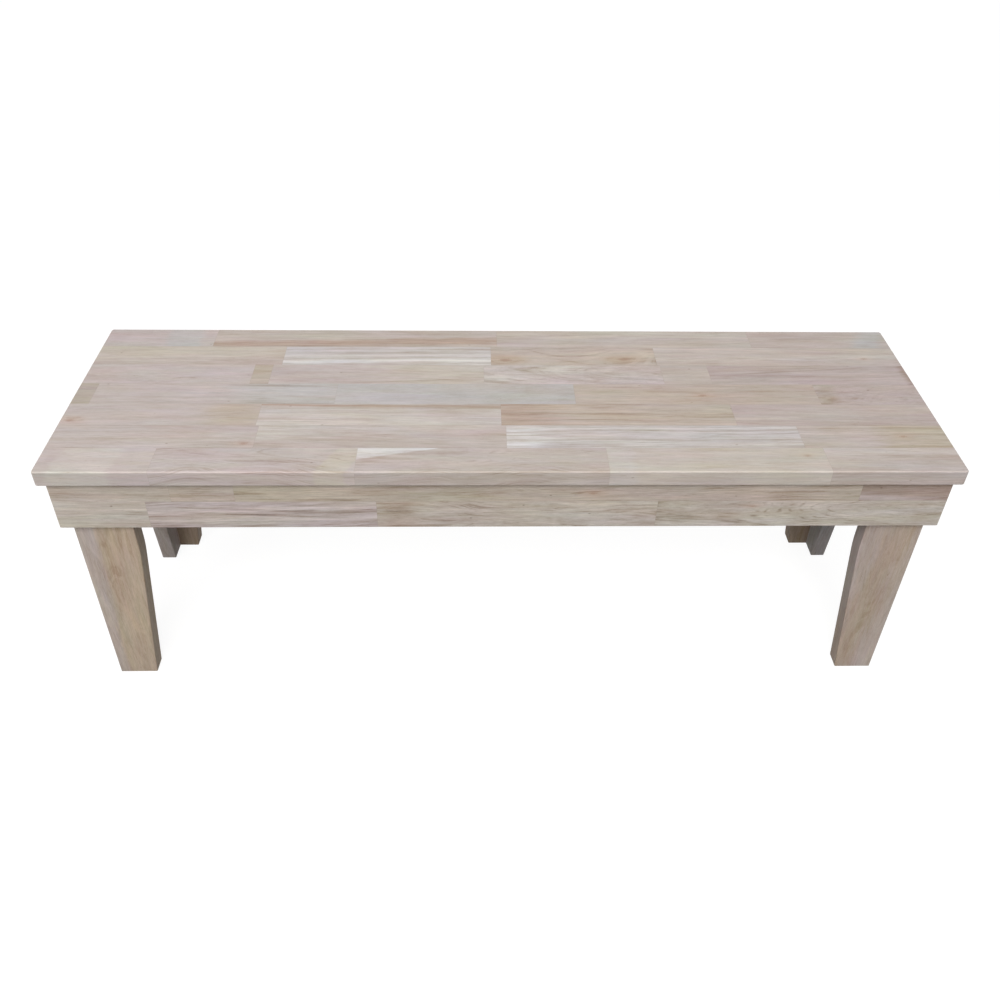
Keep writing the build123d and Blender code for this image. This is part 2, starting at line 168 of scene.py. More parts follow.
# The staves of each seat row from left to right, the back row first
SEAT_ROWS = [
    [
        Stave(0.137, "rose", "flat", 0.5, 0.3, patch=(38, 0, 90, 26, 8, "ash")),
        Stave(0.494, "plain", "quarter", 1.0, 0.9, patch=(-100, -15, 1.5, 8, 6, "russet"),
              marks=[(0, -21, 0.0, 0.0, 1.6, 380)]),
        Stave(0.820, "plain", "quarter", 0.8, 0.6, patch=(-60, 16, 0, 10, 8, "cream")),
        Stave(1.0, "plain", "rift", 0.6, 0.5, patch=(92, 16, 60, 18, 10, "ash")),
    ],
    [
        Stave(0.230, "cream", "rift", 0.7, 0.5, patch=(60, -20, 1, 9, 9, "plain")),
        Stave(0.486, "chalk", "quarter", 1.3, 0.9, patch=(30, -12, 1.5, 6, 4, "snow"),
              marks=[(20, 8, 0.01, 0.0, 3.0, 260)]),
        Stave(0.692, "tan", "flat", 0.9, 1.5, knots=[(-108, -11, 14, 6, 4), (80, -8, 20, 11, 4)],
              marks=[(-3, -1, 0.0, 0.0039, 1.4, 170), (12, -19, -0.235, 0.0, 1.2, 70)]),
        Stave(1.0, "plain", "rift", 0.8, 0.6, patch=(20, -2, 1, 5, 5, "pale"), knots=[(140, -5, 6, 2, 2)]),
    ],
    [
        Stave(0.198, "rose", "flat", 0.4, 0.6, marks=[(26, -9, 0.0, -0.007, 1.1, 52)]),
        Stave(0.220, "tan", "rift", 0.6, 0.4),
        Stave(0.477, "rose", "rift", 0.8, 0.6, patch=(120, 0, 90, 105, 55, "cream"),
              marks=[(49, -17, 0.054, 0.0, 1.5, 190)]),
        Stave(0.695, "rose", "arched", 1.1, 1.5, patch=(-70, 6, 14, 12, 10, "pale")),
        Stave(0.753, "plain", "quarter", 0.5, 0.3),
        Stave(1.0, "mauve", "slant", 1.0, 0.8, patch=(154, 0, 90, 6, 6, "umber"),
              marks=[(-20, 10, 0.083, 0.0, 1.8, 290)]),
    ],
    [
        Stave(0.022, "dun", "rift", 0.5, 0.4),
        Stave(0.303, "rose", "rift", 0.55, 0.6, patch=(110, 0, 90, 95, 60, "ash"),
              marks=[(85, 19, -0.02, 0.0, 2.2, 170)]),
        Stave(0.584, "ash", "flat", 0.35, 0.2),
        Stave(0.874, "tan", "rift", 0.8, 0.6, knots=[(9, -3, 8, 2, 2.5)]),
        Stave(1.0, "mauve", "arched", 1.0, 1.0, patch=(-68, 0, 75, 14, 12, "dun"),
              knots=[(34, -10, 14, 9, 0), (-58, -9, 5, 2, 1.2)]),
    ],
    [
        Stave(0.220, "rose", "rift", 0.35, 0.4, patch=(110, 0, 80, 34, 26, "tan"),
              knots=[(-126, -13, 6, 2, 3)],
              marks=[(-122, -8, 0.0, 0.01, 2.2, 26), (-118, -14, 0.1, 0.0, 1.8, 30)]),
        Stave(0.496, "pale", "quarter", 1.0, 0.9, patch=(40, 19, -1, 4, 3, "russet")),
        Stave(0.765, "tan", "quarter", 1.2, 1.3, patch=(-158, 0, 90, 48, 52, "russet"),
              marks=[(-60, 3, -0.01, 0.0, 1.2, 200), (-60, -12, 0.01, 0.0, 1.4, 220)]),
        Stave(1.0, "mauve", "rift", 0.6, 0.4, patch=(60, 8, 4, 12, 12, "plain")),
    ],
    [
        Stave(0.224, "rose", "quarter", 1.0, 1.0, knots=[(128, -15, 7, 3, 2.5)]),
        Stave(0.501, "plain", "slant", 0.9, 0.9, patch=(-14, 24, 5.1, 20, 3, "pale")),
        Stave(0.832, "chalk", "quarter", 1.4, 1.1, patch=(-192, 0, 90, 28, 14, "snow")),
        Stave(1.0, "plain", "quarter", 1.0, 1.0, patch=(82, 0, 90, 72, 24, "olive"),
              knots=[(42, 0, 6, 2, 2)]),
    ],
    [
        Stave(0.121, "rose", "flat", 0.35, 0.3, patch=(-12, 0, 78, 40, 6, "pale")),
        Stave(0.338, "rose", "flat", 0.55, 1.5, patch=(122, 8, 60, 18, 3, "cream"),
              knots=[(-80, -20, 17, 17, 0), (24, -22, 19, 16, 0)]),
        Stave(0.610, "plain", "flat", 0.7, 1.4, patch=(-127, 31, 11.6, 20, 1.5, "snow"),
              knots=[(-70, -25, 14, 12, 0), (60, -26, 18, 14, 0)]),
        Stave(0.851, "cream", "rift", 0.45, 0.4, patch=(-135, 0, 90, 19, 7, "pale"),
              knots=[(127, 8, 5, 2, 2)]),
        Stave(1.0, "plain", "rift", 0.7, 0.5, patch=(-20, 18, 0, 8, 7, "pale")),
    ],
]

# The staves of each apron strip, in the same form. The front apron's upper staves are toned darker and its
# lower staves lighter, partly their own tones and partly painted shade from the seat's overhang on the
# upper strip.
APRON_STRIPS = {
    "front_apron_upper_strip": [
        Stave(0.131, "tan", "rift", 0.8, 0.6, patch=(0, -14, 0, 5, 5, "cream")),
        Stave(0.201, "tan", "rift", 0.8, 0.5),
        Stave(0.898, "olive", "rift", 0.9, 1.4, patch=(210, 0, 90, 190, 120, "tan"),
              knots=[(-60, 2, 12, 9, 0), (60, -4, 8, 5, 2.5)]),
        Stave(1.0, "umber", "rift", 0.8, 0.6, patch=(0, -18, -4, 7, 6, "mauve")),
    ],
    "front_apron_lower_strip": [
        Stave(0.102, "cream", "rift", 0.6, 0.4),
        Stave(0.356, "rose", "slant", 1.1, 1.0,
              marks=[(-30, 10, -0.05, 0.0, 1.8, 230), (20, -2, -0.05, 0.0, 1.5, 220)]),
        Stave(0.671, "cream", "flat", 0.8, 1.7, patch=(-168, 6, 90, 24, 18, "tan"),
              knots=[(-46, 14, 24, 8, 0), (96, 12, 18, 5, 0)]),
        Stave(1.0, "cream", "flat", 0.8, 1.7, patch=(120, 2, 5, 5, 3, "pale"), knots=[(-70, 15, 21, 6, 2)]),
    ],
    "back_apron_upper_strip": [
        Stave(0.246, "tan", "rift", 0.8, 0.6),
        Stave(0.588, "plain", "quarter", 1.0, 0.8, patch=(90, 6, 1, 8, 6, "pale")),
        Stave(1.0, "olive", "rift", 0.8, 0.6, knots=[(60, 5, 12, 5, 3)]),
    ],
    "back_apron_lower_strip": [
        Stave(0.139, "plain", "rift", 0.8, 0.6),
        Stave(0.472, "ash", "flat", 0.7, 0.4, patch=(100, 0, 90, 80, 50, "plain")),
        Stave(0.803, "tan", "quarter", 1.1, 0.9, marks=[(0, 8, 0.02, 0.0, 1.5, 260)]),
        Stave(1.0, "rose", "rift", 0.8, 0.5),
    ],
    "left_apron_upper_strip": [Stave(1.0, "plain", "rift", 1.0, 0.7)],
    "left_apron_lower_strip": [Stave(1.0, "cream", "flat", 1.0, 0.6, knots=[(60, -20, 16, 8, 0)])],
    "right_apron_upper_strip": [Stave(1.0, "tan", "quarter", 1.0, 0.9)],
    "right_apron_lower_strip": [Stave(1.0, "olive", "arched", 0.9, 0.6)],
}

# The leg boards, each of one stave
LEG_BOARDS = {
    "front_left_leg_face_board": Stave(
        1.0, "leg_rose", "flat", 0.9, 0.8, patch=(0, 17, 2.5, 35, 5, "leg_tan"),
        knots=[(-20, -4, 13, 9, 0), (-150, 2, 18, 9, 0)],
    ),
    "front_right_leg_face_board": Stave(
        1.0, "leg_rose", "arched", 0.4, 0.8, patch=(-20, 0, 6, 22, 14, "leg_brown"),
        knots=[(-130, 14, 22, 10, 0), (-30, 20, 14, 5, 0)],
    ),
    # The back face boards: browner wood, darkened as painted shade from under the bench
    "back_left_leg_face_board": Stave(1.0, "leg_brown_painted_shade", "rift", 0.8, 0.5),
    "back_right_leg_face_board": Stave(1.0, "leg_brown_painted_shade", "flat", 0.8, 0.8),
    "front_left_leg_side_board": Stave(1.0, "leg_tan", "rift", 0.8, 0.5),
    "front_right_leg_side_board": Stave(1.0, "leg_rose", "flat", 0.8, 0.5),
    "back_left_leg_side_board": Stave(1.0, "rose", "quarter", 0.8, 0.5),
    "back_right_leg_side_board": Stave(1.0, "ash", "rift", 0.8, 0.5),
}

# The braces under the seat: the axis of the grain, the axis of the face that
# its figure shows on, and how each was cut from the log
BRACES = {
    "front_seat_cleat": (0, 2, "rift"),
    "back_seat_cleat": (0, 2, "quarter"),
    "left_seat_cleat": (1, 2, "flat"),
    "right_seat_cleat": (1, 2, "rift"),
    "seat_batten": (1, 2, "arched"),
    "front_left_leg_glue_block": (2, 1, "rift"),
    "front_right_leg_glue_block": (2, 1, "flat"),
    "back_left_leg_glue_block": (2, 1, "quarter"),
    "back_right_leg_glue_block": (2, 1, "rift"),
}
ALL_SIDES = [(axis, end) for axis in (0, 1, 2) for end in (-1, 1)]

# The noises in the wood: how fine each is along the grain and across it, per
# millimetre, then its detail and its roughness where they aren't the usual
NOISES = {
    "slow_wave": (0.0042, 0.018),
    "small_wave": (0.018, 0.07),
    "tiny_wave": (0.07, 0.3),
    "presence": (0.007, 0.05),
    "line_breaks": (0.012, 0.11),
    "streaks": (0.010, 0.22, 3.0, 0.6),
    "threads": (0.026, 0.62, 2.0, 0.6),
    "fibres": (0.06, 1.3, 3.0, 0.65),
    "cloud": (0.005, 0.022),
    "blotch": (0.018, 0.055),
    "pores": (0.15, 2.0, 1.0),
    "wide_cast": (0.0065, 0.036),
    "narrow_cast": (0.014, 0.16),
}
FLECK_SCALE = (1 / 52, 1 / 20, 1 / 20)

# Noises from ring to ring: the step with each seed, how fine the noise is
# per millimetre, its detail and its roughness
BAND_NOISE = (7.3, 0.12, 4.0, 0.62)
LINE_NOISE = (3.1, 0.26, 1.0, 0.5)

# How far the seed moves the figure along and across, and the seed and the
# place in the log of pieces whose mesh holds no figure
SEED_SHIFT = (53.0, 17.0)
PLAIN_SEED = 7.0
PLAIN_PLACE = (0.0, 44.0, 70.0)

# How far noises bend the rings and the dark curves, in millimetres, and the
# edge of a patch, in shares of its softness
RING_WAVES = {"slow_wave": 15.0, "small_wave": 2.4, "tiny_wave": 0.7}
MARK_WANDER = {"streaks": 5.0, "threads": 3.0}
PATCH_RIPPLE = {"streaks": 3.2, "small_wave": 2.0, "threads": 1.2}

# Knots: how their length counts, how ragged their cores are, and how many
# times wider than a core its halo is
KNOT_STRETCH = (0.38, 1.0, 1.0)
KNOT_NOISE_SCALE = (0.5, 0.9, 0.9)
KNOT_RAGGEDNESS = 6.0
HALO_WIDTH = 4.0

# The range over which each thing grows from 0 to 1, or from the third number
# to the fourth
RANGES = {
    "presence": (0.36, 0.62, 0.45, 1.25),
    "dark_lines": (0.11, 0.0),
    "line_breaks": (0.44, 0.64),
    "pores": (0.64, 0.75),
    "flecks": (0.055, 0.02),
    "knot_core": (-1.5, 2.5),
    "knot_halo": (-2.0, 9.0),
    "mark_ends": (0.0, 0.45),
    "mark_breaks": (0.34, 0.56, 0.35, 1.0),
    "patch": (-1.0, 1.0),
    "darkness": (0.0, -0.25),
    "end_grain": (0.6, 0.95),
    "glue": (0.30, 0.05),
    "metal_cloud": (0.35, 0.7),
    "metal_scratches": (0.3, 0.7),
}

# How much each part of the figure lightens or darkens the wood, and how the
# bands' strength acts on streaks and threads
VALUE_WEIGHTS = {
    "bands": 0.42,
    "streaks": 0.34,
    "threads": 0.36,
    "fibres": 0.42,
    "cloud": 0.22,
    "blotch": 0.18,
    "dark_lines": -0.11,
    "pores": -0.15,
    "flecks": -0.34,
}
MARK_WEIGHT = -0.20
STREAKINESS = (0.62, 0.38)

# Colours and tints in the wood, and the largest shares of some of them
CASTS = {"wide_cast": (0.12, 0.10, 0.17), "narrow_cast": (0.08, 0.07, 0.12)}
DARK_TINT = (1.03, 0.95, 0.87, 1)
END_GRAIN_TINT = (0.86, 0.83, 0.80, 1)
HALO_TINT = (1.0, 0.88, 0.78, 1)
HALO_SHARE = 0.5
KNOT_COLOUR = (0.29, 0.155, 0.095, 1)
KNOT_SHARE = 0.42
GLUE_COLOUR = (0.26, 0.19, 0.14, 1)
GLUE_SHARE = 0.32

# The wood's surface
ROUGHNESS = 0.58
ROUGH_WEIGHTS = {"fibres": 0.28, "cloud": 0.10, "pores": 0.10, "end_grain": 0.12}
HEIGHT_WEIGHTS = {
    "fibres": 0.5, "threads": 0.3, "streaks": 0.3, "pores": -0.8, "glue": -0.6, "cores": -0.5
}
WOOD_BUMP = {"Strength": 0.4, "Distance": 0.12 * MM}
WOOD_SPECULAR = 0.14

# Metals: colour and roughness, then what they share
PLATED_STEEL = ((0.62, 0.63, 0.65), 0.30)
CAST_ZINC = ((0.58, 0.58, 0.56), 0.42)
YELLOW_STEEL = ((0.72, 0.60, 0.34), 0.32)
METAL_CLOUD = ((220.0, 220.0, 220.0), 3.0)
METAL_SCRATCHES = ((3000.0, 900.0, 900.0), 2.0)
METAL_DULLING = 0.72
METAL_ROUGH_STEPS = (-0.07, 0.09)
METAL_BUMP = {"Strength": 0.25, "Distance": 0.04 * MM}

# Camera: the photograph's view of the bench
CAMERA_PLACE = (-0.0490, -1.0906, 1.3204)
CAMERA_YAW = -0.0360
CAMERA_PITCH = -0.5899
CAMERA_ROLL = 0.0240
SENSOR_WIDTH = 36.0
IMAGE_PIXELS = 1000
FOCAL_PIXELS = 924.4
PRINCIPAL_PIXEL = (499.0, 320.4)

# Light: each lamp's name, place, size and power in watts
LIGHTS = (
    ("top", (-0.9, -2.2, 5.0), (4.6, 2.6), 75.0),
    ("key", (-1.0, -3.75, 4.65), (4.0, 2.2), 250.0),
    ("fill", (0.4, -5.0, 1.9), (3.4, 1.8), 32.0),
    ("back", (0.3, 5.0, 1.7), (4.0, 1.6), 74.0),
    ("side", (-5.2, -0.2, 2.0), (2.0, 1.6), 26.0),
    ("side", (5.2, -0.2, 2.0), (2.0, 1.6), 26.0),
)
LIGHT_AIM = (0, 0, 0.3)
WORLD_STRENGTH = 0.10
FLOOR_SIZE = 14.0
FLOOR_SQUARES = 8
FLOOR_COLOUR = (0.16, 0.157, 0.154, 1.0)
FLOOR_GLOW = 0.92

# Boards


def new_object(name, bm):
    """A mesh object made from a bmesh, with its normals pointing out."""
    bmesh.ops.recalc_face_normals(bm, faces=bm.faces)
    mesh = bpy.data.meshes.new(name)
    bm.to_mesh(mesh)
    bm.free()
    piece = bpy.data.objects.new(name, mesh)
    bpy.context.scene.collection.objects.link(piece)
    return piece


def smooth_by_angle(piece):
    """Smooth shading across rounded edges, with flat faces kept flat."""
    mesh = piece.data
    mesh.polygons.foreach_set("use_smooth", [True] * len(mesh.polygons))
    mesh.set_sharp_from_angle(angle=SHARP_ANGLE)
    weighted = piece.modifiers.new("weighted", "WEIGHTED_NORMAL")
    weighted.keep_sharp = True


def box_bmesh(low, high):
    """A bmesh block between two corners."""
    bm = bmesh.new()
    bmesh.ops.create_cube(bm, size=1.0)
    for vert in bm.verts:
        vert.co = Vector([low[i] if vert.co[i] < 0 else high[i] for i in range(3)])
    return bm


def round_edges(bm, radius, chosen, segments=ROUND_SEGMENTS):
    """Round the edges for which chosen(edge) is true."""
    edges = [edge for edge in bm.edges if chosen(edge)]
    bmesh.ops.bevel(
        bm, geom=edges, offset=radius, segments=segments, profile=0.5, affect="EDGES", clamp_overlap=True
    )
    bmesh.ops.dissolve_degenerate(bm, dist=WELD_DISTANCE, edges=bm.edges)


def note_arrises(bm):
    """Write to each point how far it lies round an edge, from 0 to 1."""
    layer = bm.verts.layers.float.new("arris")
    bm.normal_update()
    for vert in bm.verts:
        straight = max(abs(part) for part in vert.normal)
        vert[layer] = min(max((ARRIS_START - straight) / ARRIS_RANGE, 0.0), 1.0)


def at(value, target):
    """Whether two places along an axis are the same."""
    return abs(value - target) < SAME_PLACE


def both(edge, axis, target):
    """Whether both ends of an edge lie at a place along an axis."""
    return all(at(vert.co[axis], target) for vert in edge.verts)


def upright(edge):
    """Whether an edge runs straight up."""
    first, second = edge.verts
    return at(first.co.x, second.co.x) and at(first.co.y, second.co.y)


def rounded_block(low, high, corner_radius, bottom_radius, top_radius=None):
    """A block with rounded upright and bottom edges, and rounded top edges
    where a radius is given for them."""
    bm = box_bmesh(low, high)
    round_edges(bm, corner_radius, upright)
    if top_radius:
        round_edges(bm, top_radius, lambda edge: both(edge, 2, high.z))
    round_edges(bm, bottom_radius, lambda edge: both(edge, 2, low.z))
    note_arrises(bm)
    return bm


def cut_off(bm, point, normal):
    """Cut away what lies beyond a plane and close the cut."""
    geometry = bm.verts[:] + bm.edges[:] + bm.faces[:]
    cut = bmesh.ops.bisect_plane(
        bm, geom=geometry, dist=WELD_DISTANCE, plane_co=point, plane_no=normal, clear_outer=True
    )
    edges = [item for item in cut["geom_cut"] if isinstance(item, bmesh.types.BMEdge)]
    if edges:
        bmesh.ops.contextual_create(bm, geom=edges)


def on_axis(axis, value):
    """A vector along an axis."""
    vector = Vector((0, 0, 0))
    vector[axis] = value
    return vector


def cut_staves(strip, low, high, along, staves):
    """Each stave of a strip with its mesh and its box, cut off end to end."""
    start = low[along]
    for stave in staves:
        end = low[along] + stave.end * (high[along] - low[along])
        bm = strip.copy()
        cut_off(bm, on_axis(along, end), on_axis(along, 1))
        cut_off(bm, on_axis(along, start), on_axis(along, -1))
        stave_low = low.copy()
        stave_high = high.copy()
        stave_low[along] = start
        stave_high[along] = end
        yield stave, bm, stave_low, stave_high
        start = end


def seed_of(seeds, piece, stave=0):
    """The seed of one board, from the first seed and the steps."""
    first, piece_step, stave_step = seeds
    return first + piece * piece_step + stave * stave_step


# One stave while its mesh is made: the mesh, its box, the axis of its grain,
# its looks, its seed and its outer sides, where it meets no other stave, each
# as an axis and a direction
Board = namedtuple("Board", "bm low high along stave seed outer")

VECTOR_LAYERS = (
    "grain", "figure", "grain_axis", "joint_low", "joint_high",
    "knot_a", "knot_a_form", "knot_b", "knot_b_form", "patch", "patch_form",
    "mark_a", "mark_a_form", "mark_b", "mark_b_form",
)


def wood_axes(along, face):
    """The axes of a board's wood: along the grain, across its face and into
    its depth."""
    across = ({0, 1, 2} - {along, face}).pop()
    return on_axis(along, 1), on_axis(across, 1), on_axis(face, 1)


def write_figure(board, new, layers, x, y, grain, grain_axis):
    """Write what the wood's material reads to one point of a board."""
    stave = board.stave
    new[layers["grain"]] = grain
    new[layers["figure"]] = (board.seed % SEED_CYCLE, stave.strength, stave.lines)
    new[layers["grain_axis"]] = grain_axis
    for name, (place_x, place_y, spread, height, core) in zip(KNOTS, stave.knots):
        new[layers[name]] = (x - place_x, y - place_y, 0.0)
        new[layers[name + "_form"]] = (spread, height, core)
    for name, (place_x, place_y, slope, bend, width, length) in zip(MARKS, stave.marks):
        new[layers[name]] = (x - place_x, y - place_y, slope)
        new[layers[name + "_form"]] = (bend, width, length)
    place_x, place_y, degrees, half, soft, tone = stave.patch
    turn = math.radians(degrees)
    new[layers["patch"]] = (math.cos(turn) * (y - place_y) - math.sin(turn) * (x - place_x), 0.0, 0.0)
    new[layers["patch_form"]] = (half, soft, 0.0)
    new[layers["tone"]] = TONES[stave.tone] + (1.0,)
    new[layers["patch_tone"]] = TONES[tone] + (1.0,)


def cut_from_log(board):
    """How a board was cut from the log, varied by its seed."""
    random.seed(board.seed)
    side, depth, run_side, run_depth = CUTS[board.stave.cut]
    side *= random.choice((-1, 1)) * random.uniform(*PLACE_SPREAD)
    depth *= random.uniform(*PLACE_SPREAD)
    run_side *= random.choice((-1, 1)) * random.uniform(*RUN_SPREAD)
    run_depth *= random.choice((-1, 1)) * random.uniform(*RUN_SPREAD)
    return side, depth, run_side, run_depth


def joint_distances(board, place):
    """How far a place lies from the board's low and high sides, in
    millimetres, with the outer sides out of reach."""
    low = (place - board.low) / MM
    high = (board.high - place) / MM
    for axis, end in board.outer:
        (low if end < 0 else high)[axis] += FAR
    return low, high


def add_board(joined, layers, board, face):
    """Add a board to a bmesh as a separate shell, with its figure."""
    side, depth, run_side, run_depth = cut_from_log(board)
    middle = (board.low + board.high) / 2
    axes = wood_axes(board.along, face)
    board_arris = board.bm.verts.layers.float["arris"]
    made = {}
    for vert in board.bm.verts:
        new = joined.verts.new(vert.co)
        made[vert] = new
        offset = (vert.co - middle) / MM
        x, y, z = (offset.dot(axis) for axis in axes)
        grain = (x, y + side + run_side * x, z + depth + run_depth * x)
        write_figure(board, new, layers, x, y, grain, axes[0])
        new[layers["arris"]] = vert[board_arris]
        low, high = joint_distances(board, vert.co)
        new[layers["joint_low"]] = low
        new[layers["joint_high"]] = high
    for polygon in board.bm.faces:
        joined.faces.new([made[vert] for vert in polygon.verts])
    board.bm.free()


def join_boards(name, boards, face, material):
    """One object that holds each board as a separate shell, with the wood's
    own coordinates and figure written to its points."""
    joined = bmesh.new()
    layers = {layer: joined.verts.layers.float_vector.new(layer) for layer in VECTOR_LAYERS}
    for layer in ("tone", "patch_tone"):
        layers[layer] = joined.verts.layers.float_color.new(layer)
    layers["arris"] = joined.verts.layers.float.new("arris")
    for board in boards:
        add_board(joined, layers, board, face)
    piece = new_object(name, joined)
    piece.data.materials.append(material)
    smooth_by_angle(piece)
    return piece


# Seat


def outer_sides(low, high, whole_low, whole_high):
    """The sides of a box that lie on the outside of the whole."""
    sides = [(axis, -1) for axis in (0, 1, 2) if at(low[axis], whole_low[axis])]
    return sides + [(axis, 1) for axis in (0, 1, 2) if at(high[axis], whole_high[axis])]


def make_seat(material):
    """The seat's rows, each one piece with its staves end to end."""
    low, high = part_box("seat_strip_1")
    for number in range(2, len(SEAT_ROWS) + 1):
        row_low, row_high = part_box(f"seat_strip_{number}")
        low = Vector(map(min, low, row_low))
        high = Vector(map(max, high, row_high))
    slab = rounded_block(low, high, SEAT_CORNER_RADIUS, SEAT_BOTTOM_RADIUS, SEAT_TOP_RADIUS)
    row_depth = (high.y - low.y) / len(SEAT_ROWS)
    for row, staves in enumerate(SEAT_ROWS):
        back = high.y - row * row_depth
        front = back - row_depth
        strip = slab.copy()
        cut_off(strip, (0, back, 0), (0, 1, 0))
        cut_off(strip, (0, front, 0), (0, -1, 0))
        row_low = Vector((low.x, front, low.z))
        row_high = Vector((high.x, back, high.z))
        boards = []
        for stave, bm, stave_low, stave_high in cut_staves(strip, row_low, row_high, 0, staves):
            seed = seed_of(SEAT_SEEDS, row, len(boards))
            outer = outer_sides(stave_low, stave_high, low, high)
            boards.append(Board(bm, stave_low, stave_high, 0, stave, seed, outer))
        strip.free()
        piece = join_boards(f"seat_row_{row + 1}", boards, 2, material)
        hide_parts(f"seat_strip_{row + 1}")
        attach(piece, "root")
    slab.free()


# Aprons


def apron_strip(block, node, along, across, sign, inner_low, inner_high):
    """One apron strip cut from the block, with a mitre at each end."""
    strip_low, strip_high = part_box(node)
    strip = block.copy()
    cut_off(strip, strip_high, (0, 0, 1))
    cut_off(strip, strip_low, (0, 0, -1))
    inner = inner_low if sign < 0 else inner_high
    inwards = on_axis(across, -sign)
    cut_off(strip, inner, inwards)
    for end, corner in ((-1, inner_low), (1, inner_high)):
        point = on_axis(along, corner[along]) + on_axis(across, inner[across])
        cut_off(strip, point, on_axis(along, end) + inwards)
    return strip


def make_aprons(material):
    """Each apron strip, mitred at its ends, with its staves end to end."""
    left_low, left_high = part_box("left_apron_lower_strip")
    right_low, right_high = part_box("right_apron_upper_strip")
    front_low, front_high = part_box("front_apron_lower_strip")
    back_low, back_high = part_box("back_apron_upper_strip")
    low = Vector((left_low.x, front_low.y, left_low.z))
    high = Vector((right_high.x, back_high.y, right_high.z))
    block = rounded_block(low, high, APRON_CORNER_RADIUS, APRON_BOTTOM_RADIUS)
    inner_low = Vector((left_high.x, front_high.y, low.z))
    inner_high = Vector((right_low.x, back_low.y, high.z))
    for order, (node, staves) in enumerate(APRON_STRIPS.items()):
        side = node.split("_")[0]
        strip_low, strip_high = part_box(node)
        along, across = (0, 1) if side in ("front", "back") else (1, 0)
        sign = -1 if side in ("front", "left") else 1
        strip = apron_strip(block, node, along, across, sign, inner_low, inner_high)
        strip_low[along] = low[along]
        strip_high[along] = high[along]
        outer = [(across, -1), (across, 1), (2, 1 if "upper" in node else -1)]
        boards = []
        for stave, bm, stave_low, stave_high in cut_staves(strip, strip_low, strip_high, along, staves):
            seed = seed_of(APRON_SEEDS, order, len(boards))
            boards.append(Board(bm, stave_low, stave_high, along, stave, seed, outer))
        strip.free()
        piece = join_boards(node.replace("strip", "rail"), boards, across, material)
        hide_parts(node)
        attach(piece, "root")
    block.free()


# Legs


def leg_profile(near, foot, top_width, height):
    """A leg board's outline as (inwards, up) points: straight down to the
    taper, a long arc there, then narrowing to the foot."""
    corner = Vector((top_width, LEG_TAPER_HEIGHT))
    lower = (Vector((foot, 0.0)) - corner).normalized()
    upper = Vector((0.0, 1.0))
    half_turn = (math.pi - lower.angle(upper)) / 2
    reach = LEG_TAPER_RADIUS * math.tan(half_turn)
    centre = Vector((top_width - LEG_TAPER_RADIUS, LEG_TAPER_HEIGHT + reach))
    points = [(near, 0.0), (foot, 0.0)]
    for step in range(TAPER_SEGMENTS + 1):
        turn = 2 * half_turn * (1 - step / TAPER_SEGMENTS)
        across = centre.x + LEG_TAPER_RADIUS * math.cos(turn)
        points.append((across, centre.y - LEG_TAPER_RADIUS * math.sin(turn)))
    return points + [(top_width, height), (near, height)]


def leg_bmesh(node, low, high, corner):
    """A leg board's mesh: its outline swept through its thickness."""
    face_board = node.endswith("face_board")
    inwards = on_axis(0, -math.copysign(1, corner.x))
    backwards = on_axis(1, -math.copysign(1, corner.y))
    span, through = (inwards, backwards) if face_board else (backwards, inwards)
    thickness = high.y - low.y if face_board else high.x - low.x
    top_width = high.x - low.x if face_board else high.y - low.y + thickness
    near = 0.0 if face_board else thickness
    foot = LEG_FACE_FOOT_WIDTH if face_board else LEG_SIDE_FOOT_WIDTH
    bm = bmesh.new()
    points = leg_profile(near, foot, top_width, high.z)
    verts = [bm.verts.new(corner + span * x + Vector((0, 0, z))) for x, z in points]
    outline = bm.faces.new(verts)
    swept = bmesh.ops.extrude_face_region(bm, geom=[outline])
    moved = [item for item in swept["geom"] if isinstance(item, bmesh.types.BMVert)]
    bmesh.ops.translate(bm, vec=through * thickness, verts=moved)
    joint_y = corner.y + backwards.y * thickness

    def eased(edge):
        if both(edge, 2, high.z):
            return False
        if not both(edge, 1, joint_y):
            return True
        return face_board and not both(edge, 0, corner.x) and not both(edge, 2, 0.0)

    round_edges(bm, LEG_EDGE_RADIUS, eased, LEG_SEGMENTS)
    note_arrises(bm)
    return bm


def make_legs(material):
    """The eight leg boards."""
    for order, (node, stave) in enumerate(LEG_BOARDS.items()):
        low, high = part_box(node)
        side_low, side_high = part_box(node.replace("face_board", "side_board"))
        face_low, face_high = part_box(node.replace("side_board", "face_board"))
        corner = Vector((
            side_high.x if "right" in node else side_low.x,
            face_low.y if "front" in node else face_high.y,
            0.0,
        ))
        bm = leg_bmesh(node, low, high, corner)
        face = 1 if node.endswith("face_board") else 0
        board = Board(bm, low, high, 2, stave, seed_of(LEG_SEEDS, order), ALL_SIDES)
        piece = join_boards(node.replace("board", "plank"), [board], face, material)
        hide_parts(node)
        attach(piece, "root")


# Braces and fasteners


def merged_copy(node):
    """A bmesh copy of a frame's piece in its place, its flat faces whole."""
    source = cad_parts[node]
    bm = bmesh.new()
    bm.from_mesh(source.data)
    bm.transform(source.matrix_world)
    bmesh.ops.remove_doubles(bm, verts=bm.verts, dist=WELD_DISTANCE)
    bmesh.ops.dissolve_limit(bm, angle_limit=FLAT_ANGLE, verts=bm.verts, edges=bm.edges)
    return bm


def make_braces(material):
    """The cleats, the batten and the glue blocks, with eased edges."""
    for order, (node, (along, face, cut)) in enumerate(BRACES.items()):
        low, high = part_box(node)
        bm = merged_copy(node)

        def outermost(edge):
            return sum(both(edge, axis, end[axis]) for axis in (0, 1, 2) for end in (low, high)) == 2

        round_edges(bm, BRACE_EDGE_RADIUS, outermost, SMALL_SEGMENTS)
        note_arrises(bm)
        stave = Stave(1.0, "bare", cut, 1.0)
        board = Board(bm, low, high, along, stave, seed_of(BRACE_SEEDS, order), ALL_SIDES)
        piece = join_boards(f"eased_{node}", [board], face, material)
        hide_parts(node)
        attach(piece, "root")


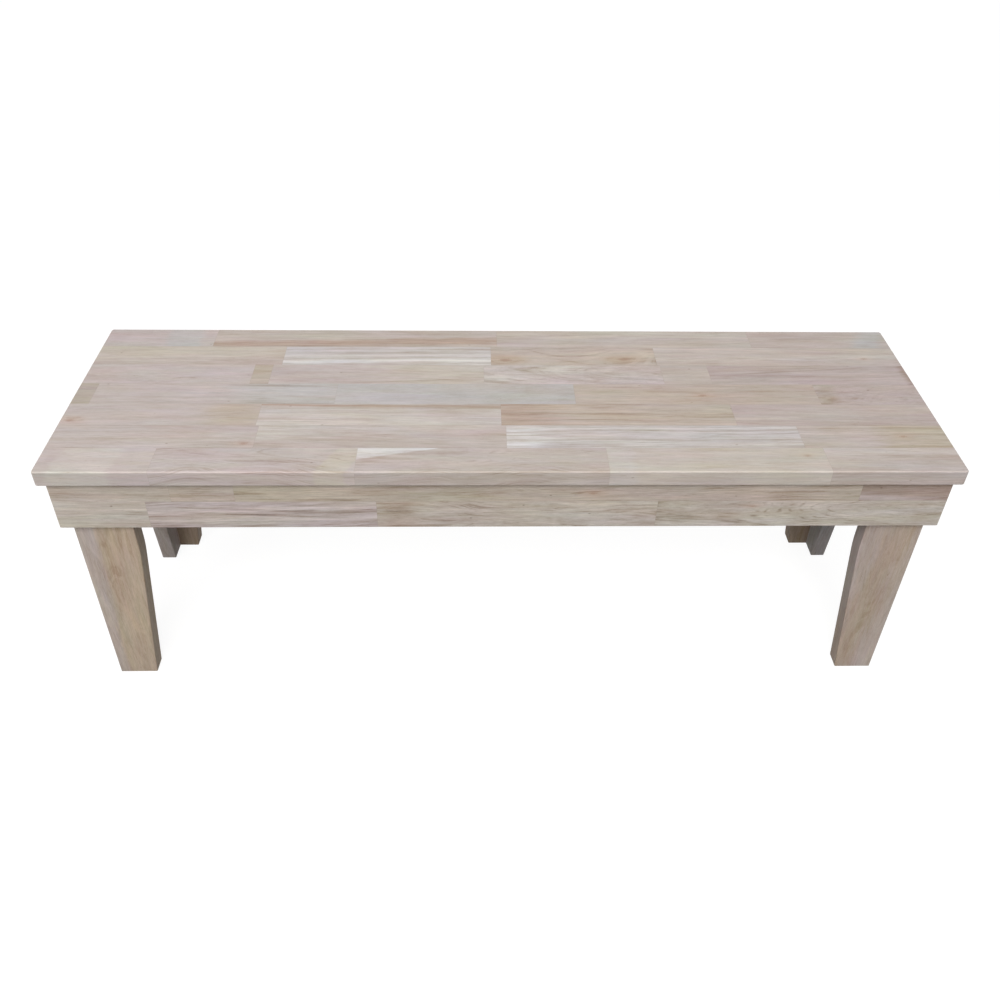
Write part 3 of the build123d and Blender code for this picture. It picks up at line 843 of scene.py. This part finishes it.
def make_fasteners():
    """The bolts, washers and inserts, with their sharp rims broken."""
    plated = metal_material("plated_steel", *PLATED_STEEL)
    cast = metal_material("cast_zinc", *CAST_ZINC)
    chosen = {
        "leg_bolts": (plated, "zinc_steel"),
        "leg_bolt_washers": (plated, "zinc_steel"),
        "apron_threaded_inserts": (cast, "insert_zinc"),
    }
    for node, (material, slot) in chosen.items():
        bm = merged_copy(node)
        bm.normal_update()
        round_edges(bm, RIM_RADIUS, lambda edge: edge.calc_face_angle(0.0) > RIM_ANGLE, SMALL_SEGMENTS)
        piece = new_object(f"eased_{node}", bm)
        piece.data.materials.append(material)
        smooth_by_angle(piece)
        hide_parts(node)
        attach(piece, "root")


# Materials


class Shader:
    """The node tree of a material or a world, built by short calls that
    return sockets."""

    def __init__(self, owner):
        owner.use_nodes = True
        self.owner = owner
        self.tree = owner.node_tree
        self.tree.nodes.clear()

    def node(self, kind, inputs=None, **settings):
        """A node with its settings, and its inputs set or linked by name."""
        made = self.tree.nodes.new("ShaderNode" + kind)
        for key, value in settings.items():
            setattr(made, key, value)
        for key, value in (inputs or {}).items():
            socket = made.inputs[key]
            if isinstance(value, bpy.types.NodeSocket):
                self.tree.links.new(value, socket)
            else:
                socket.default_value = value
        return made

    def math(self, operation, first, second=0.0, third=0.0):
        """A Math node's output."""
        return self.node("Math", {0: first, 1: second, 2: third}, operation=operation).outputs[0]

    def total(self, *terms):
        """The sum of values, each given with its weight."""
        result = 0.0
        for value, weight in terms:
            result = self.math("MULTIPLY_ADD", value, weight, result)
        return result

    def weighted(self, values, weights):
        """The sum of named values, each with the weight of its name."""
        return self.total(*((values[name], weight) for name, weight in weights.items()))

    def centred(self, value):
        """A noise value, moved to lie around zero."""
        return self.math("SUBTRACT", value, 0.5)

    def attribute(self, name, output="Vector"):
        """What a mesh attribute holds."""
        return self.node("Attribute", attribute_name=name).outputs[output]

    def parts(self, vector):
        """A vector's three parts."""
        return self.node("SeparateXYZ", {0: vector}).outputs

    def vector(self, x=0.0, y=0.0, z=0.0):
        """A vector from three parts."""
        return self.node("CombineXYZ", {0: x, 1: y, 2: z}).outputs[0]

    def vector_math(self, operation, first, second=(0.0, 0.0, 0.0), output=0):
        """A VectorMath node's output."""
        return self.node("VectorMath", {0: first, 1: second}, operation=operation).outputs[output]

    def noise(self, vector, scale, detail=2.0, roughness=0.5, output=0):
        """Three-dimensional noise of a vector stretched by a scale: its value,
        or its colour for output 1."""
        inputs = {
            "Vector": self.vector_math("MULTIPLY", vector, scale),
            "Scale": 1.0,
            "Detail": detail,
            "Roughness": roughness,
        }
        return self.node("TexNoise", inputs).outputs[output]

    def noise_along(self, value, detail, roughness):
        """One-dimensional noise of a value."""
        inputs = {"W": value, "Scale": 1.0, "Detail": detail, "Roughness": roughness}
        return self.node("TexNoise", inputs, noise_dimensions="1D").outputs[0]

    def remap(self, value, low, high, to_low=0.0, to_high=1.0, smooth=False):
        """A value's range mapped to another and clamped."""
        inputs = {0: value, 1: low, 2: high, 3: to_low, 4: to_high}
        kind = "SMOOTHSTEP" if smooth else "LINEAR"
        return self.node("MapRange", inputs, interpolation_type=kind).outputs[0]

    def ease(self, value, name):
        """A value eased over the range of this name."""
        return self.remap(value, *RANGES[name], smooth=True)

    def mix(self, factor, first, second, blend="MIX"):
        """Two colours mixed, on the Mix node's sockets for colours."""
        inputs = {0: factor, 6: first, 7: second}
        return self.node("Mix", inputs, data_type="RGBA", blend_type=blend).outputs[2]

    def times(self, first, second):
        """Two colours multiplied."""
        return self.mix(1.0, first, second, "MULTIPLY")

    def stain(self, share, colour, tint):
        """A colour multiplied by a tint, by a share from 0 to 1."""
        return self.mix(share, colour, self.times(colour, tint))

    def tint(self, cast, amount):
        """A colour near white that drifts with a noise colour."""
        drift = self.vector_math("SUBTRACT", cast, (0.5, 0.5, 0.5))
        drift = self.vector_math("MULTIPLY", drift, amount)
        return self.vector_math("ADD", drift, (1.0, 1.0, 1.0))

    def bell(self, value, width):
        """A smooth bump that is 1 where the value is zero."""
        ratio = self.math("DIVIDE", value, width)
        square = self.math("MULTIPLY", ratio, ratio)
        return self.math("EXPONENT", self.math("MULTIPLY", square, -1.0))

    def finish(self, surface, kind="OutputMaterial"):
        """Link the surface to the output and return the tree's owner."""
        self.node(kind, {"Surface": surface})
        return self.owner


def wood_source(s, axis, lines):
    """Each point's place in the wood, the board's seed and the strengths of
    its bands and dark lines, and the axis of its grain. They are read from
    the mesh, unless an axis is given."""
    if axis is None:
        return s.attribute("grain"), s.parts(s.attribute("figure")), s.attribute("grain_axis")
    place = s.vector_math("MULTIPLY", s.node("TexCoord").outputs["Object"], (1 / MM, 1 / MM, 1 / MM))
    shares = s.parts(place)
    turned = s.vector(*(shares[(axis + step) % 3] for step in range(3)))
    grain = s.vector_math("ADD", turned, PLAIN_PLACE)
    return grain, (PLAIN_SEED, 1.0, lines), [float(part == axis) for part in range(3)]


def wood_noises(s, grain, seed):
    """The wood's noises by name, drawn out along the grain."""
    shift = s.vector(*(s.math("MULTIPLY", seed, step) for step in SEED_SHIFT))
    place = s.vector_math("ADD", grain, shift)
    noises = {}
    for name, (along, across, *form) in NOISES.items():
        output = 1 if name in CASTS else 0
        noises[name] = s.noise(place, (along, across, across), *form, output=output)
    fleck_place = s.vector_math("MULTIPLY", place, FLECK_SCALE)
    noises["flecks"] = s.node("TexVoronoi", {"Vector": fleck_place, "Scale": 1.0}).outputs["Distance"]
    return noises


def centred_noises(s, noises, names):
    """Some of the noises, moved to lie around zero."""
    return {name: s.centred(noises[name]) for name in names}


def knot_fields(s):
    """How far growth bumps push the rings out, the bumps' dark cores, and
    the reddish wood around the cores."""
    bumps = 0.0
    cores = 0.0
    halos = 0.0
    for knot in KNOTS:
        spread, height, core = s.parts(s.attribute(knot + "_form"))
        stretched = s.vector_math("MULTIPLY", s.attribute(knot), KNOT_STRETCH)
        distance = s.vector_math("LENGTH", stretched, output="Value")
        bumps = s.math("MULTIPLY_ADD", s.bell(distance, spread), height, bumps)
        rags = s.centred(s.noise(s.attribute(knot), KNOT_NOISE_SCALE))
        ragged = s.math("MULTIPLY_ADD", rags, KNOT_RAGGEDNESS, distance)
        core_depth = s.math("SUBTRACT", core, ragged)
        cores = s.math("MAXIMUM", cores, s.ease(core_depth, "knot_core"))
        halo_depth = s.math("SUBTRACT", s.math("MULTIPLY", core, HALO_WIDTH), ragged)
        halos = s.math("MAXIMUM", halos, s.ease(halo_depth, "knot_halo"))
    return bumps, cores, halos


def mark_field(s, noises):
    """Dark curves that follow the grain, broken here and there, with soft
    ends."""
    wander = s.weighted(centred_noises(s, noises, MARK_WANDER), MARK_WANDER)
    darkest = 0.0
    for mark in MARKS:
        x, y, slope = s.parts(s.attribute(mark))
        bend, width, length = s.parts(s.attribute(mark + "_form"))
        curve = s.math("MULTIPLY_ADD", s.math("MULTIPLY", x, x), bend, s.math("MULTIPLY", x, slope))
        away = s.math("ADD", s.math("SUBTRACT", y, curve), wander)
        half = s.math("MULTIPLY", length, 0.5)
        ends = s.math("SUBTRACT", 1.0, s.math("DIVIDE", s.math("ABSOLUTE", x), half))
        ends = s.ease(ends, "mark_ends")
        darkest = s.math("MAXIMUM", darkest, s.math("MULTIPLY", s.bell(away, width), ends))
    return s.math("MULTIPLY", darkest, s.remap(noises["threads"], *RANGES["mark_breaks"]))


def ring_radius(s, grain, noises, bumps):
    """Distance from the log's centre, bent by waves and by knots."""
    side, depth = s.parts(grain)[1:]
    radius = s.math("SQRT", s.total((side, side), (depth, depth)))
    radius = s.math("ADD", s.weighted(noises, RING_WAVES), radius)
    return s.math("ADD", radius, bumps)


def growth_bands(s, seed, strength, radius, noises):
    """Growth bands of uneven width, and thin dark lines among them."""
    bands, lines = (
        s.centred(s.noise_along(s.total((seed, step), (radius, fineness)), detail, roughness))
        for step, fineness, detail, roughness in (BAND_NOISE, LINE_NOISE)
    )
    presence = s.math("MULTIPLY", strength, s.ease(noises["presence"], "presence"))
    dark_lines = s.ease(s.math("ABSOLUTE", lines), "dark_lines")
    line_breaks = s.ease(noises["line_breaks"], "line_breaks")
    return s.math("MULTIPLY", presence, bands), s.math("MULTIPLY", dark_lines, line_breaks)


def wood_value(s, figure, radius, noises, pores):
    """How much lighter or darker than its tone the wood is."""
    seed, strength, line_amount = figure
    bands, dark_lines = growth_bands(s, seed, strength, radius, noises)
    streakiness = s.math("MULTIPLY_ADD", strength, *STREAKINESS)
    values = centred_noises(s, noises, ("streaks", "threads", "fibres", "cloud", "blotch"))
    for name in ("streaks", "threads"):
        values[name] = s.math("MULTIPLY", streakiness, values[name])
    values["bands"] = bands
    values["dark_lines"] = s.math("MULTIPLY", dark_lines, line_amount)
    values["pores"] = pores
    values["flecks"] = s.ease(noises["flecks"], "flecks")
    return s.weighted(values, VALUE_WEIGHTS)


def patched_tone(s, noises):
    """A stave's own tone with its patch of another."""
    away = s.parts(s.attribute("patch"))[0]
    half, soft = s.parts(s.attribute("patch_form"))[:2]
    ripple = s.weighted(centred_noises(s, noises, PATCH_RIPPLE), PATCH_RIPPLE)
    away = s.math("MULTIPLY_ADD", ripple, soft, away)
    inside = s.math("SUBTRACT", half, s.math("ABSOLUTE", away))
    patch = s.ease(s.math("DIVIDE", inside, soft), "patch")
    return s.mix(patch, s.attribute("tone", "Color"), s.attribute("patch_tone", "Color"))


def wood_colour(s, base, value, shade, noises):
    """The base in drifting casts, lighter or darker with the value, and
    warmer where it is darker."""
    colour = base
    for name, amount in CASTS.items():
        colour = s.times(colour, s.tint(noises[name], amount))
    brightness = s.math("MULTIPLY_ADD", value, shade, shade)
    colour = s.times(colour, s.vector(brightness, brightness, brightness))
    return s.stain(s.remap(value, *RANGES["darkness"]), colour, DARK_TINT)


def end_grain_field(s, grain_axis):
    """1 where the surface cuts across the grain."""
    normal = s.node("NewGeometry").outputs["Normal"]
    facing = s.vector_math("DOT_PRODUCT", normal, grain_axis, output="Value")
    return s.ease(s.math("ABSOLUTE", facing), "end_grain")


def glue_field(s):
    """1 on the glue lines where staves meet."""
    nearest = FAR
    for layer in ("joint_low", "joint_high"):
        for distance in s.parts(s.attribute(layer)):
            nearest = s.math("MINIMUM", nearest, distance)
    return s.ease(nearest, "glue")


def wood_material(name, contrast=1.0, shade=1.0, edge_wear_and_highlight=0.06, axis=None, tone=None, lines=None):
    """Sanded, unfinished hardwood. Growth bands follow the log's rings
    through the board, so they run on over its edges and show as arcs on its
    ends.

    contrast, shade: how strong the figure and how bright the wood is
    glint: how much lighter the rounded edges are, partly as sanded wood and partly as a painted highlight
    axis, tone, lines: for pieces whose mesh holds no figure, the axis of the
        grain, the tone and how strong the thin dark lines are
    """
    s = Shader(bpy.data.materials.new(name))
    figured = axis is None
    grain, figure, grain_axis = wood_source(s, axis, lines)
    noises = wood_noises(s, grain, figure[0])
    bumps, cores, halos = knot_fields(s) if figured else (0.0, 0.0, 0.0)
    radius = ring_radius(s, grain, noises, bumps)
    pores = s.ease(noises["pores"], "pores")
    value = wood_value(s, figure, radius, noises, pores)
    if figured:
        value = s.math("MULTIPLY_ADD", mark_field(s, noises), MARK_WEIGHT, value)
    value = s.math("MULTIPLY", value, contrast)
    base = patched_tone(s, noises) if figured else TONES[tone] + (1.0,)
    colour = wood_colour(s, base, value, shade, noises)
    if figured:
        colour = s.mix(s.math("MULTIPLY", cores, KNOT_SHARE), colour, KNOT_COLOUR)
        colour = s.stain(s.math("MULTIPLY", halos, HALO_SHARE), colour, HALO_TINT)
        # Rounded edges made lighter: partly sanded wood, partly a painted highlight
        lift = s.math("MULTIPLY_ADD", s.attribute("arris", "Fac"), edge_wear_and_highlight, 1.0)
        colour = s.times(colour, s.vector(lift, lift, lift))
    end_grain = end_grain_field(s, grain_axis)
    colour = s.stain(end_grain, colour, END_GRAIN_TINT)
    glue = 0.0
    if figured:
        glue = glue_field(s)
        colour = s.mix(s.math("MULTIPLY", glue, GLUE_SHARE), colour, GLUE_COLOUR)
    height = s.weighted(dict(noises, pores=pores, glue=glue, cores=cores), HEIGHT_WEIGHTS)
    bump = s.node("Bump", {**WOOD_BUMP, "Height": height}).outputs[0]
    parts = centred_noises(s, noises, ("fibres", "cloud"))
    parts.update(pores=pores, end_grain=end_grain)
    rough = s.math("ADD", s.weighted(parts, ROUGH_WEIGHTS), ROUGHNESS)
    inputs = {"Base Color": colour, "Roughness": rough, "Normal": bump, "Specular IOR Level": WOOD_SPECULAR}
    return s.finish(s.node("BsdfPrincipled", inputs).outputs[0])


def metal_material(name, colour, roughness):
    """Plated or cast metal, with a fine uneven finish."""
    s = Shader(bpy.data.materials.new(name))
    place = s.node("TexCoord").outputs["Object"]
    cloud = s.noise(place, *METAL_CLOUD)
    scratches = s.noise(place, *METAL_SCRATCHES)
    dull = tuple(channel * METAL_DULLING for channel in colour) + (1,)
    tint = s.mix(s.remap(cloud, *RANGES["metal_cloud"]), colour + (1,), dull)
    limits = (roughness + step for step in METAL_ROUGH_STEPS)
    rough = s.remap(scratches, *RANGES["metal_scratches"], *limits)
    bump = s.node("Bump", {**METAL_BUMP, "Height": scratches}).outputs[0]
    inputs = {"Base Color": tint, "Metallic": 1.0, "Roughness": rough, "Normal": bump}
    return s.finish(s.node("BsdfPrincipled", inputs).outputs[0])


def in_view(s):
    """1 for rays that the camera sees straight, mirrored or through glass."""
    path = s.node("LightPath").outputs
    seen = s.math("MAXIMUM", path["Is Camera Ray"], path["Is Glossy Ray"])
    return s.math("MAXIMUM", seen, path["Is Transmission Ray"])


def floor_material():
    """A pale floor that shows white to the camera and keeps shadows."""
    s = Shader(bpy.data.materials.new("floor"))
    diffuse = s.node("BsdfDiffuse", {"Color": FLOOR_COLOUR}).outputs[0]
    glow = s.node("Emission", {"Strength": s.math("MULTIPLY", in_view(s), FLOOR_GLOW)}).outputs[0]
    return s.finish(s.node("AddShader", {0: diffuse, 1: glow}).outputs[0])


def dress_frame_pieces():
    """Materials for the frame's own dowels and screws, which stay."""
    dowel_wood = wood_material("dowel_wood", axis=1, tone="cream", lines=0.3)
    yellow = metal_material("yellow_plated_steel", *YELLOW_STEEL)
    for node in ("leg_dowels", "seat_screws", "apron_screws", "batten_screws"):
        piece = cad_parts[node]
        piece.data.materials.clear()
        piece.data.materials.append(dowel_wood if node == "leg_dowels" else yellow)


# Studio


def make_floor():
    """The floor that the bench stands on."""
    bm = bmesh.new()
    bmesh.ops.create_grid(bm, x_segments=FLOOR_SQUARES, y_segments=FLOOR_SQUARES, size=FLOOR_SIZE / 2)
    floor = new_object("floor", bm)
    floor.data.materials.append(floor_material())


def area_light(name, place, size, power):
    """A soft light that is aimed at the bench."""
    data = bpy.data.lights.new(name, "AREA")
    data.shape = "RECTANGLE"
    data.size, data.size_y = size
    data.energy = power
    light = bpy.data.objects.new(name, data)
    light.location = place
    aim = Vector(LIGHT_AIM) - light.location
    light.rotation_euler = aim.to_track_quat("-Z", "Y").to_euler()
    bpy.context.scene.collection.objects.link(light)


def make_world():
    """A white surround to the camera, and a dimmer one for light."""
    s = Shader(bpy.data.worlds.new("studio"))
    strength = s.remap(in_view(s), 0.0, 1.0, WORLD_STRENGTH, 1.0)
    background = s.node("Background", {"Color": (1, 1, 1, 1), "Strength": strength}).outputs[0]
    bpy.context.scene.world = s.finish(background, "OutputWorld")


def make_camera():
    """A camera at the photograph's place, direction and framing."""
    data = bpy.data.cameras.new("camera")
    data.sensor_width = SENSOR_WIDTH
    data.lens = SENSOR_WIDTH * FOCAL_PIXELS / IMAGE_PIXELS
    data.shift_x = (IMAGE_PIXELS / 2 - PRINCIPAL_PIXEL[0]) / IMAGE_PIXELS
    data.shift_y = (PRINCIPAL_PIXEL[1] - IMAGE_PIXELS / 2) / IMAGE_PIXELS
    camera = bpy.data.objects.new("camera", data)
    bpy.context.scene.collection.objects.link(camera)
    turn = Matrix.Rotation(CAMERA_YAW, 4, "Z") @ Matrix.Rotation(CAMERA_PITCH + math.pi / 2, 4, "X")
    camera.matrix_world = Matrix.Translation(CAMERA_PLACE) @ turn @ Matrix.Rotation(CAMERA_ROLL, 4, "Z")
    bpy.context.scene.camera = camera


make_camera()
make_world()
make_floor()
for lamp in LIGHTS:
    area_light(*lamp)
bpy.context.scene.view_settings.view_transform = "Standard"

# The seat's rounded edges get a stronger painted highlight: the bright line along its front top edge
make_seat(wood_material("seat_wood", edge_wear_and_highlight=0.17))
# The aprons' wood is set a little darker: painted shade, as the seat's overhang shades the front apron's
# upper strip
make_aprons(wood_material("apron_wood", contrast=1.7, shade=0.98))
make_legs(wood_material("leg_wood", contrast=1.25))
make_braces(wood_material("brace_wood", contrast=1.2))
make_fasteners()
dress_frame_pieces()
